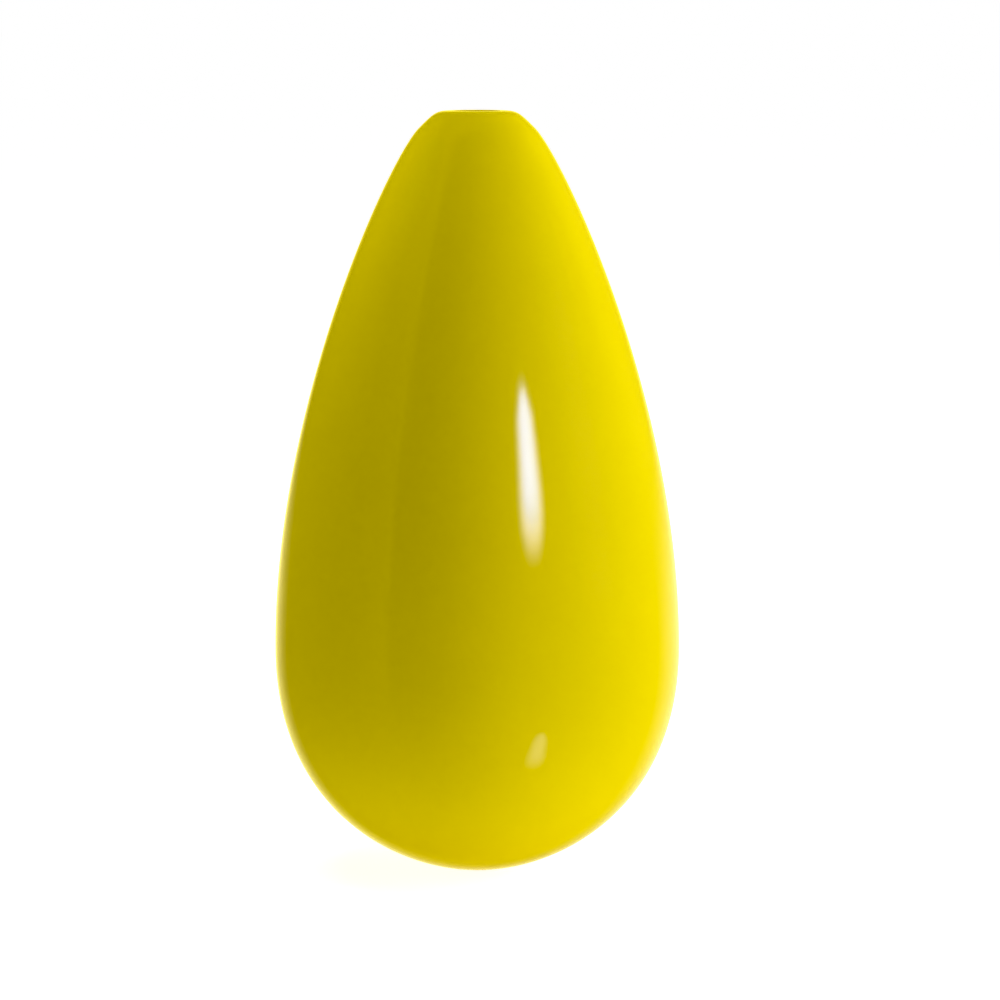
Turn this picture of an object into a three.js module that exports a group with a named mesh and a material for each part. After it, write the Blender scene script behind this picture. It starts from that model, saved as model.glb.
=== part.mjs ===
// A teardrop bud vase with a weighted base: a seamless hollow shell, a poured ballast in its bowl,
// a rubber foot plug in the base vent, and a glass water tube that lifts out of the small mouth.
// Millimetres, +Z up. The origin is the centre of the foot, on the surface that the vase stands on.

import * as THREE from 'three';

// Driving dimensions
const HEIGHT = 240;
const BELLY_RADIUS = 63.97;
const BELLY_Z = 70.7;
const LIP_CREST_RADIUS = 7.72;
const WALL = 2.5;
const FLOOR_Z = 5.0;

const MOUTH_RADIUS = 6.4;
const COLLAR_SEAT_Z = 230;
const GUIDE_RADIUS = 5.6;
const GUIDE_BOTTOM_Z = 218;
const GUIDE_OUTER_RADIUS = 9.0;

const FOOT_RECESS_RADIUS = 9.0;
const FOOT_RECESS_Z = 2.0;
const VENT_RADIUS = 6.3;

const BALLAST_GAP = 0.3;
const BALLAST_TOP_Z = 44;
const BALLAST_POCKET_RADIUS = 7.4;
const BALLAST_POCKET_Z = 9.5;

const TUBE_RADIUS = 5.0;
const TUBE_WALL = 1.0;
const TUBE_BOTTOM_Z = 88;
const TUBE_RIM_Z = 238.0;
const TUBE_RIM_RADIUS = 5.9;
const TUBE_RIM_HEIGHT = 1.5;

const COLLAR_INNER_RADIUS = 5.2;
const COLLAR_OUTER_RADIUS = 6.15;
const COLLAR_HEIGHT = 6.0;
const COLLAR_CHAMFER = 0.4;

// Fineness of the curves and of the turning round the axis
const ROUND_SEGMENTS = 48;
const SMALL_SEGMENTS = 32;
const SIDE_STEPS = 12;
const TIP_STEPS = 5;
const LIP_STEPS = 4;
const TUBE_END_STEPS = 6;

// The outline of the shell, from the edge of the foot recess up to the crest of the lip
const LOWER_SIDE = [[9.0, 0.55], [31.2, 3.9], [BELLY_RADIUS, 22.8], [BELLY_RADIUS, BELLY_Z]];
const UPPER_SIDE = [[BELLY_RADIUS, BELLY_Z], [BELLY_RADIUS, 147.4], [27.2, 225.3], [18.2, 234.5]];
const TIP = [[18.2, 234.5], [13.0, 239.7], [12.6, HEIGHT], [LIP_CREST_RADIUS, HEIGHT]];

function curve(controls) {
  return new THREE.CubicBezierCurve(...controls.map(([r, z]) => new THREE.Vector2(r, z)));
}

// Points along a curve moved inwards by a distance, square to the curve
function sample(controls, steps, inwards) {
  const line = curve(controls);
  const points = [];
  for (let i = 0; i <= steps; i += 1) {
    const t = i / steps;
    const point = line.getPoint(t);
    const tangent = line.getTangent(t);
    points.push(new THREE.Vector2(point.x - inwards * tangent.y, point.y + inwards * tangent.x));
  }
  return points;
}

// The whole outline, moved inwards by a distance
function outline(inwards) {
  return [
    ...sample(LOWER_SIDE, SIDE_STEPS, inwards),
    ...sample(UPPER_SIDE, SIDE_STEPS, inwards).slice(1),
    ...sample(TIP, TIP_STEPS, inwards).slice(1),
  ];
}

// Where a rising outline crosses a height
function radiusAt(points, z) {
  const upper = points.findIndex((point) => point.y > z);
  const low = points[upper - 1];
  const high = points[upper];
  const share = (z - low.y) / (high.y - low.y);
  return low.x + share * (high.x - low.x);
}

function arc(centreR, centreZ, radius, fromDegrees, toDegrees, steps) {
  const points = [];
  for (let i = 0; i <= steps; i += 1) {
    const angle = THREE.MathUtils.degToRad(fromDegrees + ((toDegrees - fromDegrees) * i) / steps);
    points.push(new THREE.Vector2(centreR + radius * Math.cos(angle), centreZ + radius * Math.sin(angle)));
  }
  return points;
}

function path(pairs) {
  return pairs.map(([r, z]) => new THREE.Vector2(r, z));
}

// Turns an outline, given anticlockwise with the axis on its left, round +Z
function turned(name, points, segments, material) {
  const geometry = new THREE.LatheGeometry(points, segments);
  geometry.rotateX(Math.PI / 2);
  const mesh = new THREE.Mesh(geometry, material);
  mesh.name = name;
  return mesh;
}

function bodyShell() {
  const material = new THREE.MeshStandardMaterial({ color: 0xd9c800, roughness: 0.08, metalness: 0 });
  const lipRadius = LIP_CREST_RADIUS - MOUTH_RADIUS;
  const outside = outline(0);
  const inside = outline(WALL).filter((point) => point.y > FLOOR_Z && point.x > GUIDE_OUTER_RADIUS);
  const floorRadius = radiusAt(outline(WALL), FLOOR_Z);
  const points = [
    ...outside.slice(0, -1),
    ...arc(LIP_CREST_RADIUS, HEIGHT - lipRadius, lipRadius, 90, 180, LIP_STEPS),
    ...path([
      [MOUTH_RADIUS, COLLAR_SEAT_Z],
      [GUIDE_RADIUS, COLLAR_SEAT_Z],
      [GUIDE_RADIUS, GUIDE_BOTTOM_Z],
      [GUIDE_OUTER_RADIUS, GUIDE_BOTTOM_Z],
      [GUIDE_OUTER_RADIUS, inside.at(-1).y],
    ]),
    ...inside.reverse(),
    ...path([
      [floorRadius, FLOOR_Z],
      [VENT_RADIUS, FLOOR_Z],
      [VENT_RADIUS, FOOT_RECESS_Z],
      [FOOT_RECESS_RADIUS, FOOT_RECESS_Z],
    ]),
    outside[0].clone(),
  ];
  return turned('body_shell', points, ROUND_SEGMENTS, material);
}

function ballast() {
  const material = new THREE.MeshStandardMaterial({ color: 0x8b8880, roughness: 0.95, metalness: 0 });
  const bottomZ = FLOOR_Z + BALLAST_GAP;
  const bowl = outline(WALL + BALLAST_GAP);
  const points = [
    ...path([
      [0, BALLAST_POCKET_Z],
      [BALLAST_POCKET_RADIUS, BALLAST_POCKET_Z],
      [BALLAST_POCKET_RADIUS, bottomZ],
      [radiusAt(bowl, bottomZ), bottomZ],
    ]),
    ...bowl.filter((point) => point.y > bottomZ && point.y < BALLAST_TOP_Z),
    ...path([
      [radiusAt(bowl, BALLAST_TOP_Z), BALLAST_TOP_Z],
      [0, BALLAST_TOP_Z],
    ]),
  ];
  return turned('ballast', points, ROUND_SEGMENTS, material);
}

function footPlug() {
  const material = new THREE.MeshStandardMaterial({ color: 0x2a2a28, roughness: 0.85, metalness: 0 });
  const points = path([
    [0, 0],
    [6.8, 0],
    [8.1, 0.15],
    [8.7, 0.6],
    [8.7, FOOT_RECESS_Z - 0.3],
    [VENT_RADIUS - 0.3, FOOT_RECESS_Z - 0.3],
    [VENT_RADIUS - 0.3, FLOOR_Z + 0.3],
    [VENT_RADIUS + 0.6, FLOOR_Z + 0.6],
    [VENT_RADIUS + 0.2, FLOOR_Z + 2.2],
    [VENT_RADIUS - 1.7, FLOOR_Z + 3.8],
    [0, FLOOR_Z + 3.8],
  ]);
  return turned('foot_plug', points, SMALL_SEGMENTS, material);
}

function waterTube() {
  const material = new THREE.MeshStandardMaterial({
    color: 0xe8f2ee,
    roughness: 0.02,
    metalness: 0,
    transparent: true,
    opacity: 0.4,
  });
  const boreRadius = TUBE_RADIUS - TUBE_WALL;
  const endZ = TUBE_BOTTOM_Z + TUBE_RADIUS;
  const rimZ = TUBE_RIM_Z - TUBE_RIM_HEIGHT;
  const points = [
    ...arc(0, endZ, TUBE_RADIUS, -90, 0, TUBE_END_STEPS),
    ...path([
      [TUBE_RADIUS, rimZ],
      [TUBE_RIM_RADIUS, rimZ + 0.4],
      [TUBE_RIM_RADIUS, TUBE_RIM_Z - 0.4],
      [TUBE_RIM_RADIUS - 0.5, TUBE_RIM_Z],
      [boreRadius + 0.5, TUBE_RIM_Z],
      [boreRadius, TUBE_RIM_Z - 0.5],
    ]),
    ...arc(0, endZ, boreRadius, 0, -90, TUBE_END_STEPS),
  ];
  points[0].x = 0;
  points.at(-1).x = 0;
  return turned('water_tube', points, SMALL_SEGMENTS, material);
}

function tubeCollar() {
  const material = new THREE.MeshStandardMaterial({ color: 0xdedfd8, roughness: 0.5, metalness: 0 });
  const bottomZ = COLLAR_SEAT_Z + 0.2;
  const topZ = bottomZ + COLLAR_HEIGHT;
  const points = path([
    [COLLAR_INNER_RADIUS, bottomZ],
    [COLLAR_OUTER_RADIUS - COLLAR_CHAMFER, bottomZ],
    [COLLAR_OUTER_RADIUS, bottomZ + COLLAR_CHAMFER],
    [COLLAR_OUTER_RADIUS, topZ - COLLAR_CHAMFER],
    [COLLAR_OUTER_RADIUS - COLLAR_CHAMFER, topZ],
    [COLLAR_INNER_RADIUS, topZ],
    [COLLAR_INNER_RADIUS, bottomZ],
  ]);
  return turned('tube_collar', points, SMALL_SEGMENTS, material);
}

const vase = new THREE.Group();
vase.add(bodyShell(), ballast(), footPlug());

const tube = new THREE.Group();
tube.add(waterTube(), tubeCollar());

const part = new THREE.Group();
part.add(vase, tube);

export default part;
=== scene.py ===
"""A glossy yellow teardrop bud vase with a lift-out glass water tube, on a white studio floor."""

import math

import bmesh
import bpy
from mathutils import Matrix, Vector, noise
from mathutils.geometry import interpolate_bezier

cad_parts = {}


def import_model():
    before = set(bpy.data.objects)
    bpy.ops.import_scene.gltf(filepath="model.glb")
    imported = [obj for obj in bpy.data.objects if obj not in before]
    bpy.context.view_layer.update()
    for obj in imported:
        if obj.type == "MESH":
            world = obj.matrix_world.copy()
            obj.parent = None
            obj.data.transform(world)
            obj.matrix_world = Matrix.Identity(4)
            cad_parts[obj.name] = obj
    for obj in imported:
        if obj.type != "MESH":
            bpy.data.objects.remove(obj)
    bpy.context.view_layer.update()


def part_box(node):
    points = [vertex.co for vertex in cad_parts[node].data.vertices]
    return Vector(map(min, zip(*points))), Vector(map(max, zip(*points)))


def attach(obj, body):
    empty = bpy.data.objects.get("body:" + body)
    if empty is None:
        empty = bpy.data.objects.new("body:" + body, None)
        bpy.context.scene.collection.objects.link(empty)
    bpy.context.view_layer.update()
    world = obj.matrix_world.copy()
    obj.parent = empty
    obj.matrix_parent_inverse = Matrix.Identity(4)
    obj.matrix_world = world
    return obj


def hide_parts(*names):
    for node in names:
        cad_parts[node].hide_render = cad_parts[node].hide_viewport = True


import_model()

MM = 0.001

# Places that the frame gives
shell_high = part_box("body_shell")[1]
ballast_low, ballast_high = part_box("ballast")
foot_low, foot_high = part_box("foot_plug")
tube_low, tube_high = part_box("water_tube")
collar_low, collar_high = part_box("tube_collar")

# Shell
HEIGHT = shell_high.z
BELLY_RADIUS = shell_high.x
BELLY_Z = 70.7 * MM
LIP_CREST_RADIUS = 7.72 * MM
MOUTH_RADIUS = 6.4 * MM
WALL = 2.5 * MM
FLOOR_Z = 5.0 * MM
COLLAR_SEAT_Z = 230.0 * MM
GUIDE_RADIUS = 5.6 * MM
GUIDE_BOTTOM_Z = 218.0 * MM
GUIDE_OUTER_RADIUS = 9.0 * MM
GUIDE_INNER_FILLET = 0.5 * MM
GUIDE_OUTER_FILLET = 0.6 * MM
GUIDE_ROOT_FILLET = 1.0 * MM
# How far from the guide the curve of the inside ends
GUIDE_CLEARANCE = 1.5 * MM
RECESS_RADIUS = 9.0 * MM
RECESS_Z = 2.0 * MM
VENT_RADIUS = 6.3 * MM

# The outline of the shell as curves of four (radius, height) points, from the foot up to the lip
LOWER_SIDE = [
    (9.0 * MM, 0.55 * MM),
    (31.2 * MM, 3.9 * MM),
    (BELLY_RADIUS, 22.8 * MM),
    (BELLY_RADIUS, BELLY_Z),
]
UPPER_SIDE = [
    (BELLY_RADIUS, BELLY_Z),
    (BELLY_RADIUS, 147.4 * MM),
    (27.2 * MM, 225.3 * MM),
    (18.2 * MM, 234.5 * MM),
]
TIP = [
    (18.2 * MM, 234.5 * MM),
    (13.0 * MM, 239.7 * MM),
    (12.6 * MM, HEIGHT),
    (LIP_CREST_RADIUS, HEIGHT),
]

# Ballast
BALLAST_GAP = 0.3 * MM
BALLAST_POCKET_RADIUS = 7.4 * MM
BALLAST_POCKET_Z = 9.5 * MM
# How far the mean surface, the height that gives its rim, and the side's last ring are below the top
BALLAST_SURFACE_DROP = 0.7 * MM
BALLAST_RIM_DROP = 1.0 * MM
BALLAST_SIDE_DROP = 1.2 * MM
BALLAST_RINGS = 24
# Unevenness of the surface: depth, cycles per metre, and the noise's exponent, lacunarity and octaves
UNEVEN_DEPTH = 0.65 * MM
UNEVEN_SCALE = 55
UNEVEN_FRACTAL = (0.8, 2.1, 4)

# Foot plug
PLUG_GAP = 0.3 * MM
TREAD_RADIUS = 6.8 * MM
TREAD_EDGE = (8.1 * MM, 0.15 * MM)
FLANGE_EDGE_Z = 0.6 * MM
FLANGE_FILLET = 0.25 * MM
GROOVE_MIDDLES = (2.6 * MM, 4.7 * MM)
GROOVE_DEPTH = 0.35 * MM
GROOVE_HALF_WIDTH = 0.45 * MM
GROOVE_HALF_BOTTOM = 0.25 * MM
GROOVE_FILLET = 0.12 * MM
BARB_WIDEST = (VENT_RADIUS + 0.6 * MM, FLOOR_Z + 0.6 * MM)
BARB_SHOULDER = (VENT_RADIUS + 0.2 * MM, FLOOR_Z + 2.2 * MM)
BARB_TIP_RADIUS = VENT_RADIUS - 1.7 * MM
BARB_ROOT_FILLET = 0.1 * MM
BARB_TIP_FILLET = 0.4 * MM

# Water tube and collar
TUBE_RADIUS = 5.0 * MM
TUBE_WALL = 1.0 * MM
RIM_BEAD = 0.7 * MM
RIM_EDGE_FILLET = 0.5 * MM
# How far below the top the rim begins, starts to flare, and has its full width
RIM_FOOT_DROP = 2.6 * MM
RIM_FLARE_DROP = 1.5 * MM
RIM_EDGE_DROP = 1.3 * MM
COLLAR_INNER_RADIUS = 5.2 * MM
COLLAR_RIBS = 3
RIB_DEPTH = 0.35 * MM
RIB_FILLET = 0.25 * MM
COLLAR_FILLET = 0.1 * MM
# The ends of a rib's crest, as shares of the pitch
RIB_CREST = (0.3, 0.7)

# Fillets that several edges have
FINE_FILLET = 0.2 * MM
SOFT_FILLET = 0.3 * MM

# Fineness of the meshes
SHELL_SEGMENTS = 192
SMALL_SEGMENTS = 96
SIDE_STEPS = 72
TIP_STEPS = 18
ARC_STEPS = 8
TUBE_END_STEPS = 16
FILLET_STEPS = 4
ON_AXIS = 1e-7
SHARP_ANGLE = 50

# The two colours that noise mixes in each material
LACQUER = (0.79, 0.63, 0.0), (0.81, 0.65, 0.001)
MORTAR = (0.2, 0.19, 0.17), (0.42, 0.4, 0.36)
RUBBER = (0.018, 0.018, 0.017), (0.05, 0.048, 0.045)
SILICONE = (0.74, 0.75, 0.71), (0.8, 0.81, 0.78)

GLASS_TINT = (0.7, 0.88, 0.83, 1)
GLASS_TINT_DENSITY = 700

# Where most values of a noise lie
NOISE_SPREAD = (0.3, 0.7)


def direction(azimuth, elevation):
    """The way to an azimuth, 0 towards the camera and 90 to its right, and a height, in degrees."""
    a = math.radians(azimuth)
    e = math.radians(elevation)
    return Vector((math.sin(a) * math.cos(e), -math.cos(a) * math.cos(e), math.sin(e)))


# Camera: the lens and the sensor in millimetres, the rest in metres
LENS = 135
SENSOR_WIDTH = 36
CAMERA_SIDE = 7.2 * MM
CAMERA_DISTANCE = 1173 * MM
EYE_HEIGHT = 273 * MM
AIM_HEIGHT = 117.7 * MM

# Floor: its glow as a light, and how white it looks beside the vase and further off
FLOOR_HALF_WIDTH = 30.0
FLOOR_DROP = 0.1 * MM
FLOOR_WHITE = 0.85
FLOOR_GLOW = 0.46
FLOOR_NEAR = 0.88
FLOOR_FAR = 1.0
FLOOR_FADE = (0.1, 0.6)

# Brightness of the surroundings that the gloss shows
ROOM_COLOUR = (1.0, 0.83, 0.07, 1)
TABLE_BRIGHTNESS = 0.57
TABLE_LEFT_SHARE = 0.7
YELLOW_ON_TABLE = 0.55
WARM_BACKDROP = 0.8
WALL_LEFT = 0.4
WALL_RIGHT = 0.65
SCREEN_BRIGHTNESS = 0.7
# Azimuth of the screen's near edge
SCREEN_EDGE = -50

# Where they begin and end, as parts of a unit direction: X to the right, Y straight back, Z up
HORIZON_Z = (-0.12, -0.01)
FALLOFF_ON_LEFT = 0.25
TABLE_BEHIND = (0.5, 0.96)
SHADE_OF_VASE_Z = (-0.65, -0.3)
TABLE_X = (-0.25, 0.2)
YELLOW_BEHIND = (0.55, 0.8)
YELLOW_X = (-0.2, 0.1)
WALLS_X = (-0.3, 0.3)
BACKDROP_Y = (0.9, 1.0)
SCREEN_BEGINS = (0, 0.03)
SCREEN_FADES = (0.03, 0.45)
SCREEN_X = (-0.25, 0.05)
SCREEN_Z = (-0.6, -0.1)

BLACK_LEVEL = 0.012

# The lamp whose reflection is the tall highlight
MIDDLE = Vector((0, 0, HEIGHT / 2))
LAMP_WIDTH = 0.128
LAMP_HEIGHT = 0.195
LAMP_PLACE = MIDDLE + direction(31.3, 14.7) * 0.447
LAMP_POWER = 1.74
# Bluish in the middle and warm at the edges, so that on yellow the gloss ends near white in a bright edge
LAMP_CORE = (0.46, 0.56, 1.0)
LAMP_EDGE = (1.4, 1.15, 1.0)
# Strengths at which the light has the edge's colour and the core's
LAMP_EDGE_TO_CORE = (0.08, 0.65)

# The lamp's face is 1 high and 1 wide. Its light rises from nothing at a pair's first place to full at its
# second, counted upwards from the foot, or sideways from the middle.
LIT_FROM_FOOT = (0.0, 0.5)
LIT_FROM_HEAD = (1.0, 0.92)
LIT_FROM_SIDES = (0.5, 0.1)
# How much narrower the lit part gets, and between which places up the face
EVEN_NARROWING = (1.0, 1.35)
EVEN_NARROWING_UP = (0.4, 1.0)
HEAD_NARROWING = 1.3
HEAD_NARROWING_UP = (0.82, 1.0)
FOOT_NARROWING = 0.5
FOOT_NARROWING_UP = (0.25, 0.0)

# The lamp's reflection in the table, smaller and much dimmer
GLINT_WIDTH = 0.12
GLINT_HEIGHT = 0.18
GLINT_PLACE = direction(37.4, -30.9) * 0.49
GLINT_POWER = 0.17
GLINT_COLOUR = (1, 1, 1)

# Soft panels: name, azimuth, elevation, distance, width, height, power in watts
PANELS = [
    ("key_side", 75, 10, 1.6, 0.8, 1.4, 17.7),
    ("key_right", 100, 15, 1.6, 1.0, 1.4, 2.8),
    ("key_back", 130, 15, 1.6, 1.0, 1.4, 13.3),
    ("rim_left", -120, 5, 1.6, 1.0, 1.4, 2.1),
    ("top", 0, 90, 1.4, 1.2, 1.2, 8.4),
    ("tip", -85, 56, 0.216, 0.08, 0.08, 0.067),
]


# Outlines

def curve(controls, steps):
    points = [Vector((r, z, 0)) for r, z in controls]
    return [(p.x, p.y) for p in interpolate_bezier(*points, steps + 1)]


def outer_side():
    """The outside of the shell, from the edge of the foot recess to the crest of the lip."""
    lower = curve(LOWER_SIDE, SIDE_STEPS)
    upper = curve(UPPER_SIDE, SIDE_STEPS)
    tip = curve(TIP, TIP_STEPS)
    return lower + upper[1:] + tip[1:]


def inset(points, distance):
    """Points moved towards the left of the way they run, square to it."""
    moved = []
    for i, (r, z) in enumerate(points):
        before = points[max(i - 1, 0)]
        after = points[min(i + 1, len(points) - 1)]
        along = Vector((after[0] - before[0], after[1] - before[1])).normalized()
        moved.append((r - distance * along.y, z + distance * along.x))
    return moved


def radius_at(points, height):
    """Where a rising line of points crosses a height."""
    for low, high in zip(points, points[1:]):
        if low[1] <= height < high[1]:
            share = (height - low[1]) / (high[1] - low[1])
            return low[0] + share * (high[0] - low[0])
    return points[-1][0]


def arc(centre_r, centre_z, radius, start, end, steps):
    """An arc between two angles in degrees, measured from straight outwards."""
    angles = [math.radians(start + (end - start) * i / steps) for i in range(steps + 1)]
    return [(centre_r + radius * math.cos(a), centre_z + radius * math.sin(a)) for a in angles]


def rounded(corners):
    """Turns (radius, height, fillet) corners into points, with each filleted corner made round."""
    points = []
    for i, (r, z, fillet) in enumerate(corners):
        corner = Vector((r, z))
        if fillet == 0:
            points.append((r, z))
            continue
        before = Vector(corners[i - 1][:2]) - corner
        after = Vector(corners[(i + 1) % len(corners)][:2]) - corner
        start = corner + before.normalized() * fillet
        end = corner + after.normalized() * fillet
        for step in range(FILLET_STEPS + 1):
            t = step / FILLET_STEPS
            p = start * (1 - t) ** 2 + corner * 2 * t * (1 - t) + end * t**2
            points.append((p.x, p.y))
    return points


# Mesh making

def ring(builder, r, z, segments):
    if r < ON_AXIS:
        return [builder.verts.new((0, 0, z))]
    angles = [2 * math.pi * i / segments for i in range(segments)]
    return [builder.verts.new((r * math.cos(a), r * math.sin(a), z)) for a in angles]


def join_rings(builder, first, second):
    """Faces between two rings, either of which may be a single point on the axis."""
    count = max(len(first), len(second))
    for i in range(count):
        j = (i + 1) % count
        near = [first[i % len(first)], first[j % len(first)]]
        far = [second[j % len(second)], second[i % len(second)]]
        builder.faces.new(list(dict.fromkeys(near + far)))


def turned(name, outline, segments, material):
    """A closed body of revolution about Z. An outline that doesn't start on the axis closes on itself."""
    builder = bmesh.new()
    rings = [ring(builder, r, z, segments) for r, z in outline]
    for first, second in zip(rings, rings[1:]):
        join_rings(builder, first, second)
    if outline[0][0] > ON_AXIS:
        join_rings(builder, rings[-1], rings[0])
    bmesh.ops.recalc_face_normals(builder, faces=builder.faces)
    mesh = bpy.data.meshes.new(name)
    builder.to_mesh(mesh)
    builder.free()
    mesh.shade_smooth()
    mesh.set_sharp_from_angle(angle=math.radians(SHARP_ANGLE))
    mesh.materials.append(material)
    piece = bpy.data.objects.new(name, mesh)
    bpy.context.scene.collection.objects.link(piece)
    return piece


# Shader nodes

def new_material(name, **sockets):
    """A material with one Principled shader, with the given numbers and colours on its own sockets."""
    material = bpy.data.materials.new(name)
    material.use_nodes = True
    shader = material.node_tree.nodes["Principled BSDF"]
    for socket, value in sockets.items():
        shader.inputs[socket.replace("_", " ")].default_value = value
    return material, material.node_tree, shader


def noise_node(tree, scale, detail, stretch=(1, 1, 1)):
    """Smooth noise fixed to the object, with scale in cycles per metre."""
    place = tree.nodes.new("ShaderNodeTexCoord")
    mapping = tree.nodes.new("ShaderNodeMapping")
    mapping.inputs["Scale"].default_value = stretch
    texture = tree.nodes.new("ShaderNodeTexNoise")
    texture.inputs["Scale"].default_value = scale
    texture.inputs["Detail"].default_value = detail
    tree.links.new(place.outputs["Object"], mapping.inputs["Vector"])
    tree.links.new(mapping.outputs["Vector"], texture.inputs["Vector"])
    return texture.outputs["Fac"]


def remap(tree, value, start, end, results=(0, 1)):
    """Goes evenly from the first result, where the value is `start`, to the second, where it is `end`."""
    node = tree.nodes.new("ShaderNodeMapRange")
    node.inputs["From Min"].default_value = start
    node.inputs["From Max"].default_value = end
    node.inputs["To Min"].default_value = results[0]
    node.inputs["To Max"].default_value = results[1]
    tree.links.new(value, node.inputs["Value"])
    return node.outputs["Result"]


def smooth_step(tree, value, nothing, full):
    """Rises smoothly from 0 where the value is `nothing` to 1 where it is `full`."""
    rising = remap(tree, value, nothing, full)
    rising.node.interpolation_type = "SMOOTHSTEP"
    return rising


def arithmetic(tree, operation, first, second):
    node = tree.nodes.new("ShaderNodeMath")
    node.operation = operation
    for socket, value in zip(node.inputs, (first, second)):
        if isinstance(value, (int, float)):
            socket.default_value = value
        else:
            tree.links.new(value, socket)
    return node.outputs["Value"]


def combined(tree, operation, values):
    """The sum, or another running result, of several values."""
    total = values[0]
    for value in values[1:]:
        total = arithmetic(tree, operation, total, value)
    return total


def mix_colours(tree, share, first, second):
    node = tree.nodes.new("ShaderNodeMix")
    node.data_type = "RGBA"
    node.inputs[6].default_value = (*first, 1)
    node.inputs[7].default_value = (*second, 1)
    tree.links.new(share, node.inputs[0])
    return node.outputs[2]


def bump(tree, height, depth, onto=None):
    """A bump of the given depth in metres, which may be laid on another one."""
    node = tree.nodes.new("ShaderNodeBump")
    node.inputs["Strength"].default_value = 1.0
    node.inputs["Distance"].default_value = depth
    tree.links.new(height, node.inputs["Height"])
    if onto is not None:
        tree.links.new(onto, node.inputs["Normal"])
    return node.outputs["Normal"]


def split_axes(tree, vector):
    """The X, Y and Z of a vector."""
    split = tree.nodes.new("ShaderNodeSeparateXYZ")
    tree.links.new(vector, split.inputs["Vector"])
    return split.outputs


def looked_at(tree):
    """1 where the camera sees a surface, straight or through glass, and 0 for reflections and light."""
    ray = tree.nodes.new("ShaderNodeLightPath")
    return arithmetic(tree, "MAXIMUM", ray.outputs["Is Camera Ray"], ray.outputs["Is Transmission Ray"])


# Materials

def yellow_gloss():
    """Opaque lemon-yellow lacquer: deep gloss, a faint long wave and orange peel, and scuffs by the foot."""
    material, tree, shader = new_material("yellow_gloss", IOR=1.5)
    pigment = remap(tree, noise_node(tree, scale=24, detail=3), *NOISE_SPREAD)
    colour = mix_colours(tree, pigment, *LACQUER)
    tree.links.new(colour, shader.inputs["Base Color"])

    wave = bump(tree, noise_node(tree, scale=14, detail=1), depth=0.03 * MM)
    peel = bump(tree, noise_node(tree, scale=420, detail=1), depth=0.0006 * MM, onto=wave)
    tree.links.new(peel, shader.inputs["Normal"])

    height = split_axes(tree, tree.nodes.new("ShaderNodeTexCoord").outputs["Object"])["Z"]
    near_foot = remap(tree, height, start=1.2 * MM, end=4.0 * MM, results=(1, 0))
    scuff_noise = noise_node(tree, scale=900, detail=6, stretch=(1, 1, 0.2))
    scuffs = remap(tree, scuff_noise, start=0.52, end=0.6)
    worn = arithmetic(tree, "MULTIPLY", near_foot, scuffs)
    roughness = remap(tree, worn, 0, 1, results=(0.09, 0.35))
    tree.links.new(roughness, shader.inputs["Roughness"])
    return material


def ballast_mortar():
    """Grey poured mortar with pale and dark grains."""
    material, tree, shader = new_material("ballast_mortar", Roughness=0.92)
    grains = remap(tree, noise_node(tree, scale=700, detail=5), start=0.4, end=0.62)
    colour = mix_colours(tree, grains, *MORTAR)
    tree.links.new(colour, shader.inputs["Base Color"])
    rough = bump(tree, noise_node(tree, scale=260, detail=6), depth=0.5 * MM)
    tree.links.new(rough, shader.inputs["Normal"])
    return material


def foot_rubber():
    """Matt black moulded rubber with a little dust."""
    material, tree, shader = new_material("foot_rubber", Specular_IOR_Level=0.35)
    dust = remap(tree, noise_node(tree, scale=320, detail=5), start=0.45, end=0.7)
    colour = mix_colours(tree, dust, *RUBBER)
    tree.links.new(colour, shader.inputs["Base Color"])
    roughness = remap(tree, dust, 0, 1, results=(0.62, 0.85))
    tree.links.new(roughness, shader.inputs["Roughness"])
    grain = bump(tree, noise_node(tree, scale=2400, detail=2), depth=0.02 * MM)
    tree.links.new(grain, shader.inputs["Normal"])
    return material


def clear_glass():
    """Drawn glass, tinted a little green, with very faint draw lines along it."""
    material, tree, shader = new_material(
        "clear_glass",
        Base_Color=(1, 1, 1, 1),
        Roughness=0.0,
        IOR=1.47,
        Transmission_Weight=1.0,
    )
    tint = tree.nodes.new("ShaderNodeVolumeAbsorption")
    tint.inputs["Color"].default_value = GLASS_TINT
    tint.inputs["Density"].default_value = GLASS_TINT_DENSITY
    tree.links.new(tint.outputs["Volume"], tree.nodes["Material Output"].inputs["Volume"])
    draw_lines = noise_node(tree, scale=160, detail=1, stretch=(1, 1, 0.02))
    tree.links.new(bump(tree, draw_lines, depth=0.004 * MM), shader.inputs["Normal"])
    return material


def collar_silicone():
    """Milky silicone, soft and slightly see-through."""
    material, tree, shader = new_material(
        "collar_silicone",
        Subsurface_Weight=0.35,
        Subsurface_Radius=(0.004, 0.004, 0.0035),
        Subsurface_Scale=0.3,
        IOR=1.41,
    )
    haze = remap(tree, noise_node(tree, scale=260, detail=4), *NOISE_SPREAD)
    colour = mix_colours(tree, haze, *SILICONE)
    tree.links.new(colour, shader.inputs["Base Color"])
    roughness = remap(tree, haze, 0, 1, results=(0.38, 0.5))
    tree.links.new(roughness, shader.inputs["Roughness"])
    return material


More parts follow.
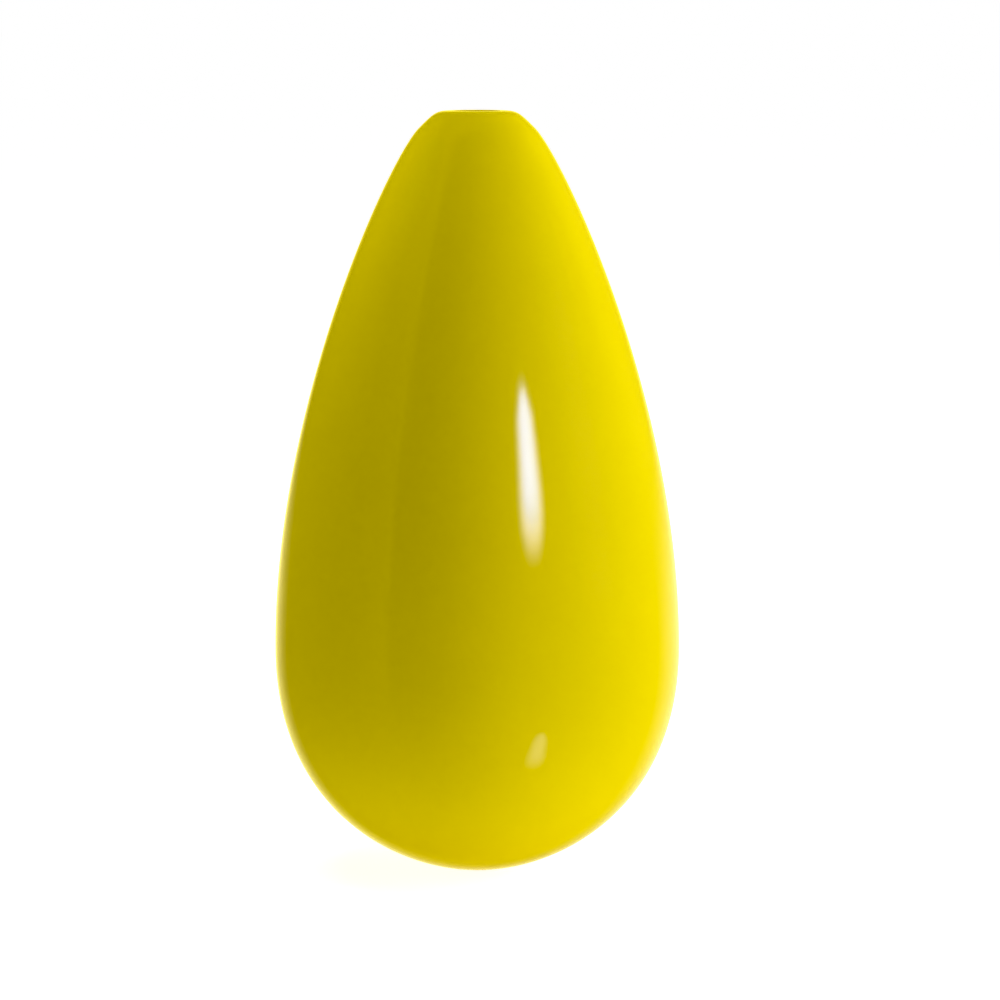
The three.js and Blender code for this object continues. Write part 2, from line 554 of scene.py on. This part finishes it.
def white_floor():
    """A white studio floor, lit from within, that can be looked through from below."""
    material, tree, shader = new_material(
        "white_floor",
        Base_Color=(FLOOR_WHITE, FLOOR_WHITE, FLOOR_WHITE, 1),
        Roughness=1.0,
        Specular_IOR_Level=0.0,
        Emission_Color=(1, 1, 1, 1),
    )
    place = tree.nodes.new("ShaderNodeTexCoord")
    distance = tree.nodes.new("ShaderNodeVectorMath")
    distance.operation = "LENGTH"
    tree.links.new(place.outputs["Object"], distance.inputs[0])
    whiteness = remap(tree, distance.outputs["Value"], *FLOOR_FADE, results=(FLOOR_NEAR, FLOOR_FAR))
    seen = arithmetic(tree, "MULTIPLY", whiteness, looked_at(tree))
    glow = arithmetic(tree, "MAXIMUM", seen, FLOOR_GLOW)
    tree.links.new(glow, shader.inputs["Emission Strength"])

    geometry = tree.nodes.new("ShaderNodeNewGeometry")
    clear = tree.nodes.new("ShaderNodeBsdfTransparent")
    mix = tree.nodes.new("ShaderNodeMixShader")
    tree.links.new(geometry.outputs["Backfacing"], mix.inputs["Fac"])
    tree.links.new(shader.outputs["BSDF"], mix.inputs[1])
    tree.links.new(clear.outputs["BSDF"], mix.inputs[2])
    tree.links.new(mix.outputs["Shader"], tree.nodes["Material Output"].inputs["Surface"])
    return material


# Pieces

def vase_shell(material):
    """The seamless shell, with its soft lip, the guide for the tube, and the recess for the foot."""
    lip_radius = LIP_CREST_RADIUS - MOUTH_RADIUS
    outside = outer_side()
    inset_side = inset(outside, WALL)
    narrowest = GUIDE_OUTER_RADIUS + GUIDE_CLEARANCE
    inside = [p for p in inset_side if p[1] > FLOOR_Z and p[0] > narrowest]
    guide = rounded(
        [
            (MOUTH_RADIUS, COLLAR_SEAT_Z, 0),
            (GUIDE_RADIUS, COLLAR_SEAT_Z, FINE_FILLET),
            (GUIDE_RADIUS, GUIDE_BOTTOM_Z, GUIDE_INNER_FILLET),
            (GUIDE_OUTER_RADIUS, GUIDE_BOTTOM_Z, GUIDE_OUTER_FILLET),
            (GUIDE_OUTER_RADIUS, inset_side[-1][1], GUIDE_ROOT_FILLET),
            (*inside[-1], 0),
        ]
    )
    base = rounded(
        [
            (*inside[0], 0),
            (radius_at(inset_side, FLOOR_Z), FLOOR_Z, 0),
            (VENT_RADIUS, FLOOR_Z, FINE_FILLET),
            (VENT_RADIUS, RECESS_Z, FINE_FILLET),
            (RECESS_RADIUS, RECESS_Z, FINE_FILLET),
            (*outside[0], 0),
        ]
    )
    lip = arc(LIP_CREST_RADIUS, HEIGHT - lip_radius, lip_radius, 90, 180, ARC_STEPS)
    points = outside[:-1] + lip + guide[:-1] + inside[::-1] + base[1:-1]
    return turned("vase_shell", points, SHELL_SEGMENTS, material)


def poured_ballast(material):
    """The mortar in the bowl, with an uneven top where it set."""
    bottom = ballast_low.z
    top = ballast_high.z
    surface = top - BALLAST_SURFACE_DROP
    bowl = inset(outer_side(), WALL + BALLAST_GAP)
    side = [p for p in bowl if bottom < p[1] < top - BALLAST_SIDE_DROP]
    rim_radius = radius_at(bowl, top - BALLAST_RIM_DROP)
    points = [
        (0, BALLAST_POCKET_Z),
        (BALLAST_POCKET_RADIUS, BALLAST_POCKET_Z),
        (BALLAST_POCKET_RADIUS, bottom),
        (radius_at(bowl, bottom), bottom),
        *side,
        *[(rim_radius * (1 - i / BALLAST_RINGS), surface) for i in range(BALLAST_RINGS)],
        (0, surface),
    ]
    piece = turned("poured_ballast", points, SMALL_SEGMENTS, material)
    for vertex in piece.data.vertices:
        if vertex.co.z > top - BALLAST_RIM_DROP:
            vertex.co.z += UNEVEN_DEPTH * noise.fractal(vertex.co * UNEVEN_SCALE, *UNEVEN_FRACTAL)
            vertex.co.z = min(vertex.co.z, top)
    return piece


def rubber_foot(material):
    """The foot plug: a flat tread with two moulded grooves, a flange, and a barb that holds it in."""
    flange = foot_high.x
    stem = VENT_RADIUS - PLUG_GAP
    top = foot_high.z
    tread = []
    for middle in GROOVE_MIDDLES:
        tread += [
            (middle - GROOVE_HALF_WIDTH, 0, GROOVE_FILLET),
            (middle - GROOVE_HALF_BOTTOM, GROOVE_DEPTH, GROOVE_FILLET),
            (middle + GROOVE_HALF_BOTTOM, GROOVE_DEPTH, GROOVE_FILLET),
            (middle + GROOVE_HALF_WIDTH, 0, GROOVE_FILLET),
        ]
    edge = [
        (TREAD_RADIUS, 0, SOFT_FILLET),
        (*TREAD_EDGE, SOFT_FILLET),
        (flange, FLANGE_EDGE_Z, FLANGE_FILLET),
        (flange, RECESS_Z - PLUG_GAP, FINE_FILLET),
        (stem, RECESS_Z - PLUG_GAP, FINE_FILLET),
        (stem, FLOOR_Z + PLUG_GAP, BARB_ROOT_FILLET),
        (*BARB_WIDEST, FINE_FILLET),
        (*BARB_SHOULDER, SOFT_FILLET),
        (BARB_TIP_RADIUS, top, BARB_TIP_FILLET),
    ]
    points = rounded([(0, 0, 0), *tread, *edge, (0, top, 0)])
    return turned("rubber_foot", points, SMALL_SEGMENTS, material)


def glass_tube(material):
    """The water tube, with a round end and a fire-polished rim."""
    rim = tube_high.x
    top = tube_high.z
    end_z = tube_low.z + TUBE_RADIUS
    bore = TUBE_RADIUS - TUBE_WALL
    outside = arc(0, end_z, TUBE_RADIUS, -90, 0, TUBE_END_STEPS)
    inside = arc(0, end_z, bore, 0, -90, TUBE_END_STEPS)
    outside[0] = (0, tube_low.z)
    inside[-1] = (0, tube_low.z + TUBE_WALL)
    rim_points = rounded(
        [
            (TUBE_RADIUS, top - RIM_FOOT_DROP, 0),
            (TUBE_RADIUS, top - RIM_FLARE_DROP, SOFT_FILLET),
            (rim, top - RIM_EDGE_DROP, RIM_EDGE_FILLET),
            (rim, top, RIM_BEAD),
            (bore, top, RIM_BEAD),
            (bore, top - RIM_FOOT_DROP, 0),
        ]
    )
    return turned("glass_tube", outside + rim_points + inside, SMALL_SEGMENTS, material)


def ribbed_collar(material):
    """The silicone sleeve that centres the tube in the mouth, with soft ribs."""
    low = collar_low.z
    high = collar_high.z
    outer = collar_high.x
    valley = outer - RIB_DEPTH
    pitch = (high - low) / COLLAR_RIBS
    corners = [(COLLAR_INNER_RADIUS, low, COLLAR_FILLET)]
    for i in range(COLLAR_RIBS):
        base = low + i * pitch
        corners.append((valley, base, COLLAR_FILLET))
        corners += [(outer, base + share * pitch, RIB_FILLET) for share in RIB_CREST]
    corners += [(valley, high, COLLAR_FILLET), (COLLAR_INNER_RADIUS, high, COLLAR_FILLET)]
    return turned("ribbed_collar", rounded(corners), SMALL_SEGMENTS, material)


def place_pieces():
    made = [
        (vase_shell(yellow_gloss()), "vase", "body_shell", "yellow_gloss"),
        (poured_ballast(ballast_mortar()), "vase", "ballast", "ballast_mortar"),
        (rubber_foot(foot_rubber()), "vase", "foot_plug", "foot_rubber"),
        (glass_tube(clear_glass()), "tube", "water_tube", "clear_glass"),
        (ribbed_collar(collar_silicone()), "tube", "tube_collar", "collar_silicone"),
    ]
    for piece, body, node, slot in made:
        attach(piece, body)
        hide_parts(node)


# Studio

def area_light(name, place, width, height, power):
    """A rectangular light that faces the middle of the vase."""
    light = bpy.data.lights.new(name, "AREA")
    light.shape = "RECTANGLE"
    light.size = width
    light.size_y = height
    light.energy = power
    made = bpy.data.objects.new(name, light)
    made.location = place
    made.rotation_euler = (place - MIDDLE).to_track_quat("Z", "Y").to_euler()
    made.visible_camera = False
    bpy.context.scene.collection.objects.link(made)
    return made


def panel(name, azimuth, elevation, distance, width, height, power):
    """A soft panel that lights the vase and isn't seen in its gloss."""
    place = MIDDLE + direction(azimuth, elevation) * distance
    made = area_light(name, place, width, height, power)
    made.visible_glossy = False


def lamp(name, place, width, height, power, core, edge):
    """A tall lamp seen only in the gloss, soft at its sides, pointed, and fading out towards its foot."""
    made = area_light(name, place, width, height, power)
    made.visible_diffuse = False
    made.data.use_nodes = True
    tree = made.data.node_tree
    # The place on the lamp's face, from 0 to 1 each way
    face = split_axes(tree, tree.nodes.new("ShaderNodeNewGeometry").outputs["Parametric"])
    from_middle = arithmetic(tree, "ABSOLUTE", arithmetic(tree, "SUBTRACT", face["X"], 0.5), 0)
    up = face["Y"]

    even = remap(tree, up, *EVEN_NARROWING_UP, results=EVEN_NARROWING)
    at_head = arithmetic(tree, "MULTIPLY", smooth_step(tree, up, *HEAD_NARROWING_UP), HEAD_NARROWING)
    at_foot = arithmetic(tree, "MULTIPLY", smooth_step(tree, up, *FOOT_NARROWING_UP), FOOT_NARROWING)
    narrowing = combined(tree, "ADD", [even, at_head, at_foot])
    sideways = arithmetic(tree, "MULTIPLY", from_middle, narrowing)
    sides = smooth_step(tree, sideways, *LIT_FROM_SIDES)
    foot = smooth_step(tree, up, *LIT_FROM_FOOT)
    head = smooth_step(tree, up, *LIT_FROM_HEAD)
    strength = combined(tree, "MULTIPLY", [foot, head, sides])

    glow = tree.nodes["Emission"]
    colour = mix_colours(tree, remap(tree, strength, *LAMP_EDGE_TO_CORE), edge, core)
    tree.links.new(colour, glow.inputs["Color"])
    tree.links.new(strength, glow.inputs["Strength"])


def lights():
    lamp("lamp", LAMP_PLACE, LAMP_WIDTH, LAMP_HEIGHT, LAMP_POWER, LAMP_CORE, LAMP_EDGE)
    lamp("glint", GLINT_PLACE, GLINT_WIDTH, GLINT_HEIGHT, GLINT_POWER, GLINT_COLOUR, GLINT_COLOUR)
    for settings in PANELS:
        panel(*settings)


def behind_vase(tree, way):
    """How nearly a direction points straight back, falling off faster on the left."""
    leftwards = arithmetic(tree, "MINIMUM", way["X"], 0)
    falloff = arithmetic(tree, "MULTIPLY", leftwards, FALLOFF_ON_LEFT)
    return arithmetic(tree, "ADD", way["Y"], falloff)


def below_horizon(tree, way):
    return remap(tree, way["Z"], *HORIZON_Z, results=(1, 0))


def table_in_gloss(tree, way):
    """How bright the white table is along a direction: only below the horizon and behind the vase."""
    behind = smooth_step(tree, behind_vase(tree, way), *TABLE_BEHIND)
    below = below_horizon(tree, way)
    shade_of_vase = smooth_step(tree, way["Z"], *SHADE_OF_VASE_Z)
    side = remap(tree, way["X"], *TABLE_X, results=(TABLE_LEFT_SHARE, 1))
    return combined(tree, "MULTIPLY", [behind, below, shade_of_vase, side, TABLE_BRIGHTNESS])


def yellow_on_table(tree, way):
    """How bright the vase's own yellow is on the table, behind it on the left."""
    behind = smooth_step(tree, behind_vase(tree, way), *YELLOW_BEHIND)
    below = below_horizon(tree, way)
    on_left = remap(tree, way["X"], *YELLOW_X, results=(1, 0))
    return combined(tree, "MULTIPLY", [behind, below, on_left, YELLOW_ON_TABLE])


def screen_in_gloss(tree, place, way):
    """How bright a pale upright screen on the left is along a direction, fading away from its near edge."""
    past_edge = tree.nodes.new("ShaderNodeVectorMath")
    past_edge.operation = "DOT_PRODUCT"
    past_edge.inputs[1].default_value = direction(SCREEN_EDGE - 90, 0)
    tree.links.new(place, past_edge.inputs[0])
    begins = remap(tree, past_edge.outputs["Value"], *SCREEN_BEGINS)
    fades = remap(tree, past_edge.outputs["Value"], *SCREEN_FADES, results=(1, 0))
    on_left = remap(tree, way["X"], *SCREEN_X, results=(1, 0))
    above_table = smooth_step(tree, way["Z"], *SCREEN_Z)
    return combined(tree, "MULTIPLY", [begins, fades, on_left, above_table, SCREEN_BRIGHTNESS])


def room_in_gloss(tree, place, way):
    """How bright the warm surroundings are along a direction."""
    walls = remap(tree, way["X"], *WALLS_X, results=(WALL_LEFT, WALL_RIGHT))
    backdrop = arithmetic(tree, "MULTIPLY", smooth_step(tree, way["Y"], *BACKDROP_Y), WARM_BACKDROP)
    table = yellow_on_table(tree, way)
    screen = screen_in_gloss(tree, place, way)
    return combined(tree, "ADD", [table, walls, screen, backdrop])


def world():
    """Plain white to the camera; to the gloss, a bright table behind the vase in a dim warm room."""
    made = bpy.data.worlds.new("studio")
    made.use_nodes = True
    tree = made.node_tree
    place = tree.nodes.new("ShaderNodeTexCoord").outputs["Generated"]
    way = split_axes(tree, place)
    seen = looked_at(tree)
    white = tree.nodes["Background"]
    white.inputs["Color"].default_value = (1, 1, 1, 1)
    table = table_in_gloss(tree, way)
    tree.links.new(arithmetic(tree, "MAXIMUM", table, seen), white.inputs["Strength"])
    warm = tree.nodes.new("ShaderNodeBackground")
    warm.inputs["Color"].default_value = ROOM_COLOUR
    not_seen = arithmetic(tree, "SUBTRACT", 1.0, seen)
    room = room_in_gloss(tree, place, way)
    tree.links.new(arithmetic(tree, "MULTIPLY", room, not_seen), warm.inputs["Strength"])
    both = tree.nodes.new("ShaderNodeAddShader")
    tree.links.new(white.outputs["Background"], both.inputs[0])
    tree.links.new(warm.outputs["Background"], both.inputs[1])
    tree.links.new(both.outputs["Shader"], tree.nodes["World Output"].inputs["Surface"])
    made.cycles_visibility.diffuse = False
    bpy.context.scene.world = made


def view():
    """Plain colours, with the faintest haze taken out of the darks."""
    settings = bpy.context.scene.view_settings
    settings.view_transform = "Standard"
    settings.use_curve_mapping = True
    settings.curve_mapping.black_level = (BLACK_LEVEL, BLACK_LEVEL, BLACK_LEVEL)
    settings.curve_mapping.update()


def floor():
    half = FLOOR_HALF_WIDTH
    corners = [(-half, -half, 0), (half, -half, 0), (half, half, 0), (-half, half, 0)]
    mesh = bpy.data.meshes.new("floor")
    mesh.from_pydata(corners, [], [(0, 1, 2, 3)])
    mesh.materials.append(white_floor())
    plane = bpy.data.objects.new("floor", mesh)
    plane.location.z = foot_low.z - FLOOR_DROP
    plane.visible_glossy = False
    bpy.context.scene.collection.objects.link(plane)


def camera():
    """A long lens a little above the rim, with the vase just left of the middle."""
    data = bpy.data.cameras.new("camera")
    data.lens = LENS
    data.sensor_width = SENSOR_WIDTH
    made = bpy.data.objects.new("camera", data)
    eye = Vector((CAMERA_SIDE, -CAMERA_DISTANCE, EYE_HEIGHT))
    aim = Vector((CAMERA_SIDE, 0, AIM_HEIGHT))
    made.location = eye
    made.rotation_euler = (aim - eye).to_track_quat("-Z", "Y").to_euler()
    bpy.context.scene.collection.objects.link(made)
    bpy.context.scene.camera = made


camera()
place_pieces()
floor()
lights()
world()
view()
